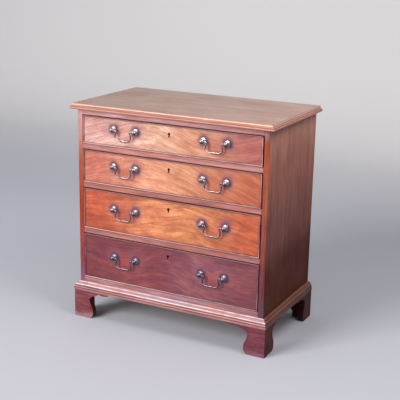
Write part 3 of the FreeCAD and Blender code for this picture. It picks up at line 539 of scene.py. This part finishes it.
def bead_mahogany(number):
    """Cockbeading: flanks dark with grime and painted shade, a nose pale with wear and painted
    highlight, a painted shadow along the top and a painted highlight along the bottom.
    """
    finish = Finish(f"bead_mahogany_{number}", Coat_Weight=0.3, Coat_Roughness=0.2)
    low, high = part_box(f"drawer_{number}_cockbead")
    full, most = BEAD_STRIP
    scuffs = finish.noise(finish.place, scale=25.0, detail=4.0)
    worn = finish.mix(finish.step(scuffs, 0.4, 0.62), *BEAD_TONES[number])
    # A painted shadow along the top, under the rail above.
    top = finish.step(finish.z, high.z - most, high.z - full)
    worn = finish.mix(top, worn, BEAD_TOP_PAINTED_SHADOW)
    # A painted highlight along the bottom, fading towards the right.
    bottom = finish.step(finish.z, low.z + full, low.z + most, 1.0, 0.0)
    highlight_leftward = finish.step(finish.x, low.x, high.x, 1.0, 0.2)
    worn = finish.mix(finish.times(bottom, highlight_leftward), worn, BEAD_BOTTOM_PAINTED_HIGHLIGHT)
    nose, flank = (low.y + depth for depth in BEAD_NOSE)
    colour = finish.mix(finish.step(finish.y, nose, flank), worn, BEAD_FLANK_GRIME_AND_SHADE)
    return waxed(finish, colour, scuffs, 0.3)


# --- the carcass ------------------------------------------------------------------------

# The side boards' tones by height, darker towards the bottom as painted shade.
SIDE_SHADE_HEIGHTS = (0.18, 0.36, 0.52, 0.7, 0.86)
SIDE_TONES_WITH_PAINTED_SHADE = tints((82, 38, 20), (86, 40, 28), (125, 80, 74), (150, 97, 84), (175, 122, 105))
# The right side's edge tones are darker than the left's as painted shade, the light falling from
# the left.
EDGE_HEIGHTS = (0.15, 0.24, 0.425, 0.58, 0.74, 0.775)
EDGE_TONES_WITH_PAINTED_SHADE = {
    "left_side": tints((122, 79, 97), (132, 60, 57), (140, 56, 33), (147, 73, 53),
                       (176, 120, 114), (182, 130, 128)),
    "right_side": tints((99, 70, 86), (104, 56, 61), (132, 71, 59), (148, 79, 56),
                        (151, 73, 52), (158, 110, 113)),
}
# The front edge's veneer ends between two depths behind the front. The outer face counts as this
# deep. The grime and painted shade fade out between two distances from the drawers' opening.
EDGE_THICKNESS = (0.0018, 0.0022)
OUTER_FACE = 0.0015
OPENING_GRIME_AND_SHADE = (0.001, 0.0035)

# The gaps to the right of drawer 1 and above drawer 3 have worn wide. The solids keep even gaps, so
# the wider gaps' shadow is painted, in the gaps' dark colour, over this much of the side and of the
# rail next to them.
PAINTED_GAP_SHADOW_SIDE = 0.0024
PAINTED_GAP_SHADOW_RAILS = {"drawer_rail_2": 0.0018}


def beside_rails(finish):
    """1 where a rail meets the side board, 0 beside a drawer."""
    beside = 0.0
    for low, high in (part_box(name) for name in RAILS):
        beside = finish.math("ADD", beside, finish.within(finish.z, low.z, high.z))
    return beside


def side_edge(finish, name):
    """The veneer on a side's front edge, the right one darker as painted shade, with grime and
    painted shade along the drawers' opening.
    """
    edge = finish.ramp(finish.z, EDGE_HEIGHTS, EDGE_TONES_WITH_PAINTED_SHADE[name])
    edge, _ = grained(finish, finish.place, "z", edge, 0.16)
    low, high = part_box(name)
    outward = finish.minus(finish.size(finish.x), min(abs(low.x), abs(high.x)))
    beside_drawers = finish.minus(1.0, finish.times(beside_rails(finish), 0.8))
    # Grime and painted shade along the opening, beside the drawers only, where the gaps are.
    grimy = finish.times(finish.step(outward, *OPENING_GRIME_AND_SHADE, 0.75, 0.0), beside_drawers)
    edge = finish.mix(grimy, edge, STAIN)
    if name == "right_side":
        low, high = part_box("drawer_1_front")
        beside_first = finish.within(finish.z, low.z, high.z)
        # A painted shadow of the wider gap beside the first drawer.
        worn = finish.times(finish.below(outward, PAINTED_GAP_SHADOW_SIDE), beside_first, 0.8)
        edge = finish.mix(worn, edge, GRIME_AND_GAP_SHADE)
    return edge


def carcass_side(name):
    """Upright grain, darker towards the bottom as painted shade, with a brighter veneer on the edge
    that faces forward.
    """
    finish = Finish(name + "_mahogany", Specular_IOR_Level=0.07)
    wander = finish.noise(finish.place, scale=5.0, detail=3.0)
    height = finish.plus_part(finish.z, wander, 0.16)
    board = finish.ramp(height, SIDE_SHADE_HEIGHTS, SIDE_TONES_WITH_PAINTED_SHADE)
    board, fibres = grained(finish, finish.place, "z", board, 0.16)
    forward = from_front(finish, EDGE_THICKNESS, 1.0, 0.0)
    inside = finish.below(finish.size(finish.x), HALF_WIDTH - OUTER_FACE)
    faces = finish.mix(inside, board, gap_grime_and_shade(finish, board))
    return waxed(finish, finish.mix(forward, faces, side_edge(finish, name)), fibres, 0.42)


# The top's moulded edge from the bottom up, as shares of its height: bead, quirk, cove, quirk and
# arris. The quirks are painted dark as shade, and the bead's upper part and the arris pale as
# painted highlights.
TOP_EDGE_PLACES = (0.0, 0.3, 0.38, 0.46, 0.68, 0.77, 0.86)
TOP_EDGE_TONES_WITH_PAINTED_LIGHT = tints((150, 96, 92), (186, 126, 110), (104, 56, 46), (176, 108, 80),
                       (182, 118, 88), (96, 46, 32), (208, 166, 152))
TOP_TONES = tints((142, 106, 92), (160, 124, 108), (152, 112, 98))
# Depths below the top's face between which its colour takes over from the edge's.
TOP_ARRIS = (0.002, 0.0008)


def top_mahogany():
    """A plain board bleached by daylight, redder where its edge is moulded, with painted shade in
    the edge's quirks and painted highlights on its bead and arris.
    """
    finish = Finish("top_mahogany", Coat_Weight=0.3, Coat_Roughness=0.3)
    low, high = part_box("top_board")
    board = patchy(finish, TOP_TONES, 3.0)
    edge = finish.ramp(finish.step(finish.z, low.z, high.z), TOP_EDGE_PLACES, TOP_EDGE_TONES_WITH_PAINTED_LIGHT)
    flat = finish.step(finish.z, *(high.z - depth for depth in TOP_ARRIS))
    colour = finish.mix(flat, edge, board)
    colour, fibres = grained(finish, finish.place, "x", colour, 0.12, 0.03)
    return waxed(finish, colour, fibres, 0.36)


RAIL_HEIGHTS = (0.16, 0.3, 0.52, 0.7, 0.82)
RAIL_TONES = tints((136, 98, 106), (152, 94, 92), (150, 88, 80), (160, 102, 98),
                   (178, 128, 130))
RAIL_WARM = tint(174, 94, 64)
RAIL_FACING = 0.006
# Distances in from a rail's arrises between which their grime fades out.
RAIL_STAIN = (0.0008, 0.003)


def rail_mahogany(name):
    """A mahogany edge on a pine rail, grimy along its arrises."""
    finish = Finish(name + "_mahogany", Coat_Weight=0.2, Coat_Roughness=0.2)
    low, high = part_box(name)
    wander = finish.noise(finish.place, scale=7.0, detail=3.0)
    height = finish.plus_part(finish.z, wander, 0.04)
    edge = warmed(finish, finish.ramp(height, RAIL_HEIGHTS, RAIL_TONES), RAIL_WARM)
    edge, fibres = grained(finish, finish.place, "x", edge, 0.24)
    inward = height_inward(finish, low, high)
    edge = finish.mix(finish.step(inward, *RAIL_STAIN, 0.6, 0.0), edge, STAIN)
    # A painted shadow of the wider gap under this rail.
    worn = finish.below(finish.minus(finish.z, low.z), PAINTED_GAP_SHADOW_RAILS.get(name, 0.0))
    edge = finish.mix(finish.times(worn, 0.9), edge, GRIME_AND_GAP_SHADE)
    return waxed(finish, gap_grime_and_shade(finish, faced(finish, edge, RAIL_FACING)), fibres)


# Depths below the base moulding's top: its cap's edge and its upper reed, pale with wear and
# painted highlights.
CAP_EDGE = (0.0008, 0.0022)
UPPER_REED = (0.008, 0.013)


def moulding_mahogany(name, grain, colours, crest_wear_and_highlight, warm=None):
    """Moulded wood, pale with wear and painted highlights along its cap and the upward faces of its
    upper reed, and darker on its downward faces as painted shade.
    """
    finish = Finish(name, Coat_Weight=0.1, Coat_Roughness=0.2)
    base = patchy(finish, colours, 8.0)
    if warm:
        base = warmed(finish, base, warm)
    colour, fibres = grained(finish, finish.place, grain, base, 0.16, 0.004)
    below = finish.minus(MOULDING_TOP, finish.z)
    scuffs = finish.noise(finish.place, scale=30.0, detail=4.0)
    cap = finish.step(below, *CAP_EDGE, 1.0, 0.0)
    reed = finish.times(finish.step(finish.facing_z, 0.2, 0.6),
                        finish.within(below, *UPPER_REED))
    worn_and_lit_crests = finish.times(finish.math("MAXIMUM", cap, reed),
                          finish.step(scuffs, 0.3, 0.6, 0.5, 1.0))
    colour = finish.mix(worn_and_lit_crests, colour, crest_wear_and_highlight)
    # The downward faces darkened as painted shade.
    quirk = finish.step(finish.facing_z, -0.5, -0.1, 0.7, 0.0)
    return waxed(finish, finish.mix(quirk, colour, STAIN), fibres, 0.4)


# The feet's side faces are darkened towards this as painted shade.
PAINTED_FOOT_SIDE_SHADE = tint(74, 26, 10)
# Heights between which the scuffs fade out.
FOOT_SCUFFS = (0.025, 0.05)


def foot_mahogany(name, colours, scuffed):
    """Feet scuffed pale near the floor, and darker on the side faces as painted shade."""
    finish = Finish(name, Specular_IOR_Level=0.12)
    colour = patchy(finish, colours, 9.0)
    colour, fibres = grained(finish, finish.place, "x", colour, 0.2)
    scuffs = finish.noise(finish.place, scale=40.0, detail=4.0, roughness=0.6)
    height = finish.plus_part(finish.z, scuffs, 0.05)
    colour = finish.mix(finish.step(height, *FOOT_SCUFFS, 0.5, 0.0), colour, scuffed)
    # Side faces darkened as painted shade.
    sideways = finish.step(finish.size(finish.facing_x), 0.5, 0.9, 0.0, 0.85)
    return waxed(finish, finish.mix(sideways, colour, PAINTED_FOOT_SIDE_SHADE), fibres, 0.4)


# --- metal ------------------------------------------------------------------------------

BRIGHT_BRASS = tint(222, 220, 224)
DULL_BRASS = tint(194, 188, 188)
BROWN_BRASS = tint(120, 92, 88)
GRIP_BRASS = tint(148, 124, 122)
KNOB_PAINTED_REFLECTION = tint(74, 72, 82)
BRASS_PAINTED_SHADE_BELOW = tint(70, 56, 58)

# How much of the brass's own brightness each drawer's handles keep; the lower drawers' handles are
# darker as painted shade.
BRASS_SHARES_WITH_PAINTED_SHADE = {
    1: (1.2, 1.14, 1.2),
    2: (0.9, 0.84, 0.92),
    3: (0.78, 0.72, 0.86),
    4: (0.54, 0.54, 0.7),
}

# Heights from the posts at which a hanging bail's grip ends, its arms begin and end, and
# the knobs begin.
GRIP_HIGH = (-0.031, -0.028)
ARMS_LOW = (-0.031, -0.025)
ARMS_HIGH = (-0.013, -0.009)
KNOB_LOW = (-0.012, -0.008)
# Depths behind the front at which the knobs' painted dark reflection ends, the keyhole's thread
# darkens as painted shade and the lock's case begins.
KNOB_DEPTH = (-0.012, -0.008)
THREAD_DEPTH = (0.0005, 0.003)
CASE_DEPTH = (0.0115, 0.0125)

METAL_RELIEF = 0.0001


def spotted(finish, colour, spots, rough, rougher):
    """Metal whose spots are rougher than the rest and stand a little above it."""
    roughness = finish.plus_part(rough, spots, rougher)
    return finish.done(colour, roughness, finish.bump(spots, METAL_RELIEF))


def aged_brass(number):
    """Handles of one drawer, silvery on the rims and grips, tarnished on the arms, with a painted
    dark reflection on the knobs' fronts, painted shade on faces turned down, and darker on lower
    drawers as painted shade.
    """
    finish = Finish(f"aged_brass_{number}", Metallic=1.0)
    spots = finish.noise(finish.place, scale=180.0, detail=4.0, roughness=0.6)
    broad = finish.noise(finish.place, scale=30.0)
    colour = finish.mix(finish.step(broad, 0.35, 0.65), BRIGHT_BRASS, DULL_BRASS)
    rise = finish.minus(finish.z, post_height(number))
    arms = finish.times(finish.step(rise, *ARMS_LOW), finish.step(rise, *ARMS_HIGH, 1.0, 0.0))
    colour = finish.mix(finish.times(arms, 0.75), colour, BROWN_BRASS)
    colour = finish.mix(finish.step(rise, *GRIP_HIGH, 0.8, 0.0), colour, GRIP_BRASS)
    # The knobs' front-facing tips painted dark, as a painted reflection.
    forward = finish.times(finish.facing_y, -1.0)
    knobs = finish.times(finish.step(forward, 0.6, 0.9, 0.0, 0.7),
                         from_front(finish, KNOB_DEPTH, 1.0, 0.0),
                         finish.step(rise, *KNOB_LOW))
    colour = finish.mix(knobs, colour, KNOB_PAINTED_REFLECTION)
    # Faces turned down darkened as painted shade.
    upward = finish.plus_part(finish.facing_z, spots, 0.5)
    colour = finish.mix(finish.step(upward, -0.3, 0.5), BRASS_PAINTED_SHADE_BELOW, colour)
    # Darker handles on the lower drawers, as painted shade.
    colour = finish.vector("MULTIPLY", colour, BRASS_SHARES_WITH_PAINTED_SHADE[number])
    return spotted(finish, colour, spots, rough=0.27, rougher=0.25)


def lock_metal():
    """A dull brass case behind the front, with a thread round the keyhole that goes darker deeper
    in as painted shade.
    """
    finish = Finish("lock_metal", Metallic=1.0)
    spots = finish.noise(finish.place, scale=120.0, detail=4.0, roughness=0.6)
    case = finish.mix(spots, tint(120, 98, 66), tint(160, 134, 92))
    # The thread darkens deeper into the keyhole as painted shade.
    inside = from_front(finish, THREAD_DEPTH)
    thread = finish.mix(inside, tint(76, 54, 44), tint(18, 14, 12))
    colour = finish.mix(from_front(finish, CASE_DEPTH), thread, case)
    return spotted(finish, colour, spots, rough=0.25, rougher=0.3)


def bolt_iron():
    finish = Finish("bolt_iron", Metallic=1.0)
    spots = finish.noise(finish.place, scale=200.0, detail=4.0, roughness=0.6)
    colour = finish.mix(spots, tint(70, 66, 64), tint(126, 122, 118))
    return spotted(finish, colour, spots, rough=0.3, rougher=0.3)


# --- pieces -----------------------------------------------------------------------------

WELD = 0.00001
COPLANAR = math.radians(1)
SHARP = math.radians(32)

# Radii of the eased edges.
ARRIS = 0.0008
FINE_ARRIS = 0.0005
FRONT_ARRIS = 0.0004
FOOT_ARRIS = 0.0012
BACK_ARRIS = 0.0015

# Edges up to these lengths stay sharp: the facets of the feet's curves, and the cuts for
# joints and locks in the drawers.
FACETS = 0.0015
CUTS = 0.02
# Edges up to this length are closed up.
SPECK = 0.000002


def placed(name, data):
    """A new object in the scene."""
    thing = bpy.data.objects.new(name, data)
    bpy.context.scene.collection.objects.link(thing)
    return thing


def smooth(mesh):
    mesh.polygons.foreach_set("use_smooth", [True] * len(mesh.polygons))


def part_touching(work):
    """Takes out the faces that lie between touching solids, and lets each shell stand by itself."""
    inner = [face for face in work.faces if all(len(edge.link_faces) > 2 for edge in face.edges)]
    bmesh.ops.delete(work, geom=inner, context="FACES")
    left = dict.fromkeys(work.faces)
    while left:
        shell = [left.popitem()[0]]
        for face in shell:
            for edge in face.edges:
                pair = edge.link_faces if len(edge.link_faces) == 2 else ()
                for other in pair:
                    if other in left:
                        del left[other]
                        shell.append(other)
        if left:
            bmesh.ops.split(work, geom=shell)


def eased(name, material, radius=ARRIS, shortest=0.0, speck=0.0):
    """A copy of a wooden node that stands for it, with its sharp edges rounded.

    Edges no longer than the shortest stay sharp, and edges up to a speck long are closed up.
    """
    node = frame["nodes"][name]
    work = bmesh.new()
    work.from_mesh(node.data)
    bmesh.ops.remove_doubles(work, verts=work.verts, dist=WELD)
    bmesh.ops.dissolve_limit(work, angle_limit=COPLANAR, verts=work.verts, edges=work.edges)
    part_touching(work)
    shared = {corner for edge in work.edges if len(edge.link_faces) != 2 for corner in edge.verts}
    sharp = [edge for edge in work.edges if not shared.intersection(edge.verts)
             and edge.calc_face_angle(0) > SHARP and edge.calc_length() > shortest]
    bmesh.ops.bevel(work, geom=sharp, offset=radius, segments=2, profile=0.5, affect="EDGES",
                    clamp_overlap=True)
    if speck:
        bmesh.ops.dissolve_degenerate(work, dist=speck, edges=work.edges)
    mesh = bpy.data.meshes.new(name + "_eased")
    work.to_mesh(mesh)
    work.free()
    smooth(mesh)
    mesh.set_sharp_from_angle(angle=SHARP)
    piece = placed(name + "_eased", mesh)
    piece.modifiers.new("flat_faces", "WEIGHTED_NORMAL").keep_sharp = True
    mesh.materials.append(material)
    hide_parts(name)
    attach(piece, body_of(node)[0])


def repaint(name, material):
    """Gives a CAD node a finish of its own."""
    node = frame["nodes"][name]
    node.data.materials.clear()
    node.data.materials.append(material)


FRONT_MOULDING = dict(colours=tints((138, 98, 108), (158, 112, 114), (144, 98, 108)),
                      crest_wear_and_highlight=tint(224, 212, 224), warm=tint(180, 104, 74))
# The side mouldings take darker, browner tones than the front's as painted shade.
SHADED_SIDE_MOULDINGS = dict(colours=tints((78, 40, 30), (96, 52, 38), (86, 44, 34)),
                      crest_wear_and_highlight=tint(150, 90, 64))
RED = tints((106, 57, 61), (124, 68, 76), (108, 56, 64))
PURPLE = tints((94, 52, 60), (114, 62, 72), (98, 52, 64))
SHADOWED_REAR_FEET = tints((36, 18, 15), (46, 22, 18), (40, 20, 16))
# Each foot's colours, and what its scuffs show. The rear feet's colours and scuffs are painted dark
# as shadow.
FEET = {
    "foot_front_left": (RED, tint(168, 134, 136)),
    "foot_front_right": (PURPLE, tint(130, 94, 106)),
    "foot_rear_left": (SHADOWED_REAR_FEET, tint(64, 38, 30)),
    "foot_rear_right": (SHADOWED_REAR_FEET, tint(64, 38, 30)),
}


def dress_carcass():
    pine_across = secondary_wood("pine_across", "x", OLD_PINE)
    pine_deep = secondary_wood("pine_deep", "y", OLD_PINE)
    eased("top_board", top_mahogany())
    for name in ("left_side", "right_side"):
        eased(name, carcass_side(name))
    for name in RAILS:
        eased(name, rail_mahogany(name), FINE_ARRIS)
    across = moulding_mahogany("moulding_across", "x", **FRONT_MOULDING)
    eased("base_moulding_front", across, FINE_ARRIS)
    deep = moulding_mahogany("moulding_deep", "y", **SHADED_SIDE_MOULDINGS)
    eased("base_moulding_sides", deep, FINE_ARRIS)
    for name, (colours, scuffed) in FEET.items():
        eased(name, foot_mahogany(name + "_mahogany", colours, scuffed), FOOT_ARRIS, FACETS)
    for name in ("bottom_board", "top_rear_rail", "dust_panels", "drawer_stops"):
        repaint(name, pine_across)
    repaint("drawer_runners", pine_deep)
    eased("backboards", back_pine(), BACK_ARRIS)


def dress_drawer(number, lock, iron):
    oak_deep = secondary_wood(f"oak_deep_{number}", "y", OLD_OAK, 0.6)
    oak_across = secondary_wood(f"oak_across_{number}", "x", OLD_OAK, 0.6)
    brass = aged_brass(number)
    drawer = f"drawer_{number}"
    eased(f"{drawer}_front", drawer_veneer(number), FRONT_ARRIS, CUTS, SPECK)
    eased(f"{drawer}_sides", oak_deep, ARRIS, CUTS)
    eased(f"{drawer}_back", oak_across, ARRIS, CUTS)
    repaint(f"{drawer}_bottom", oak_across)
    repaint(f"{drawer}_cockbead", bead_mahogany(number))
    repaint(f"{drawer}_lock", lock)
    repaint(f"{drawer}_lock_bolt", iron)
    for fitting in ("handle_posts", "bail_left", "bail_right"):
        repaint(f"{drawer}_{fitting}", brass)


# --- studio -----------------------------------------------------------------------------

PHOTO_PIXELS = 400
FOCAL_PIXELS = 930.4


def camera_rig():
    """The photograph's viewpoint: a place in metres, then yaw, pitch and roll in degrees."""
    place = Vector((1.5102, -2.9205, 1.3746))
    yaw, pitch, roll = (math.radians(angle) for angle in (27.02, 15.62, 1.10))
    level = Vector((-math.sin(yaw), math.cos(yaw), 0)) * math.cos(pitch)
    forward = level - Vector((0, 0, math.sin(pitch)))
    across = Vector((math.cos(yaw), math.sin(yaw), 0))
    up = across.cross(forward)
    right = across * math.cos(roll) + up * math.sin(roll)
    top = -across * math.sin(roll) + up * math.cos(roll)
    camera = placed("camera", bpy.data.cameras.new("camera"))
    camera.matrix_world = Matrix((
        (right.x, top.x, -forward.x, place.x),
        (right.y, top.y, -forward.y, place.y),
        (right.z, top.z, -forward.z, place.z),
        (0, 0, 0, 1)))
    camera.data.sensor_width = 36
    camera.data.lens = FOCAL_PIXELS / PHOTO_PIXELS * camera.data.sensor_width
    camera.data.clip_end = 50
    bpy.context.scene.camera = camera


FLOOR_TONE = (0.49, 0.50, 0.56)
WALL_TONE = (0.80, 0.78, 0.78)
WALL_FADE = (1.2, 3.6)
BEND_PARTS = 12


def backdrop():
    """A pale floor that curves up into a wall, far enough back for views from behind."""
    behind, bend, wide, near, tall = 3.8, 1.2, 12.0, -9.0, 6.0
    profile = [(near, 0.0)]
    for part in range(BEND_PARTS + 1):
        turn = math.pi / 2 * part / BEND_PARTS
        profile.append((behind - bend + bend * math.sin(turn), bend - bend * math.cos(turn)))
    profile.append((behind, tall))
    vertices = [(side * wide, y, z) for y, z in profile for side in (-1, 1)]
    faces = [(2 * i, 2 * i + 1, 2 * i + 3, 2 * i + 2) for i in range(len(profile) - 1)]
    mesh = bpy.data.meshes.new("backdrop")
    mesh.from_pydata(vertices, [], faces)
    smooth(mesh)
    piece = placed("backdrop", mesh)
    finish = Finish("backdrop", Roughness=0.9)
    tone = finish.mix(finish.step(finish.y, *WALL_FADE), FLOOR_TONE, WALL_TONE)
    mesh.materials.append(finish.done(tone))


def area_light(name, place, aim, size, watts, colour):
    light = bpy.data.lights.new(name, "AREA")
    light.energy = watts
    light.size = size
    light.color = colour
    lamp = placed(name, light)
    lamp.location = place
    lamp.rotation_euler = (Vector(aim) - Vector(place)).to_track_quat("-Z", "Y").to_euler()


ROOM_TONE = (0.92, 0.95, 1.0, 1)
TOWARDS_WINDOW = Vector((-0.7, -0.5, 0.5)).normalized()
# How squarely a direction faces the window, at the room's dimmest and its brightest, and
# how bright it is there. The camera sees the room brighter than its light on the chest.
ROOM_FACING = (-0.6, 0.9)
ROOM_STRENGTH = (0.03, 0.55)
SEEN_BRIGHTER = 0.6


def surround():
    """A pale room, brighter towards its window and dim on the far side."""
    world = bpy.data.worlds.new("studio")
    bpy.context.scene.world = world
    world.use_nodes = True
    nodes, links = world.node_tree.nodes, world.node_tree.links
    direction = nodes.new("ShaderNodeTexCoord")
    towards = nodes.new("ShaderNodeVectorMath")
    towards.operation = "DOT_PRODUCT"
    towards.inputs[1].default_value = TOWARDS_WINDOW
    strength = nodes.new("ShaderNodeMapRange")
    for socket, value in zip(strength.inputs[1:], ROOM_FACING + ROOM_STRENGTH):
        socket.default_value = value
    links.new(direction.outputs["Generated"], towards.inputs[0])
    links.new(towards.outputs["Value"], strength.inputs["Value"])
    seen = nodes.new("ShaderNodeLightPath")
    pale = nodes.new("ShaderNodeMath")
    pale.operation = "MULTIPLY_ADD"
    pale.inputs[1].default_value = SEEN_BRIGHTER
    links.new(seen.outputs["Is Camera Ray"], pale.inputs[0])
    links.new(strength.outputs[0], pale.inputs[2])
    links.new(pale.outputs[0], nodes["Background"].inputs["Strength"])
    nodes["Background"].inputs["Color"].default_value = ROOM_TONE


def studio():
    surround()
    area_light("window", place=(-2.0, -4.4, 2.5), aim=(0, -0.1, 0.5), size=2.6, watts=305,
               colour=(1.0, 0.98, 0.96))
    area_light("overhead", place=(1.1, -0.4, 1.9), aim=(0.37, 0.05, 0.8), size=0.8, watts=18,
               colour=(1.0, 0.96, 0.92))
    bpy.context.scene.view_settings.view_transform = "Standard"


camera_rig()
backdrop()
studio()
dress_carcass()
lock_finish, iron_finish = lock_metal(), bolt_iron()
for drawer_number in DRAWERS:
    dress_drawer(drawer_number, lock_finish, iron_finish)
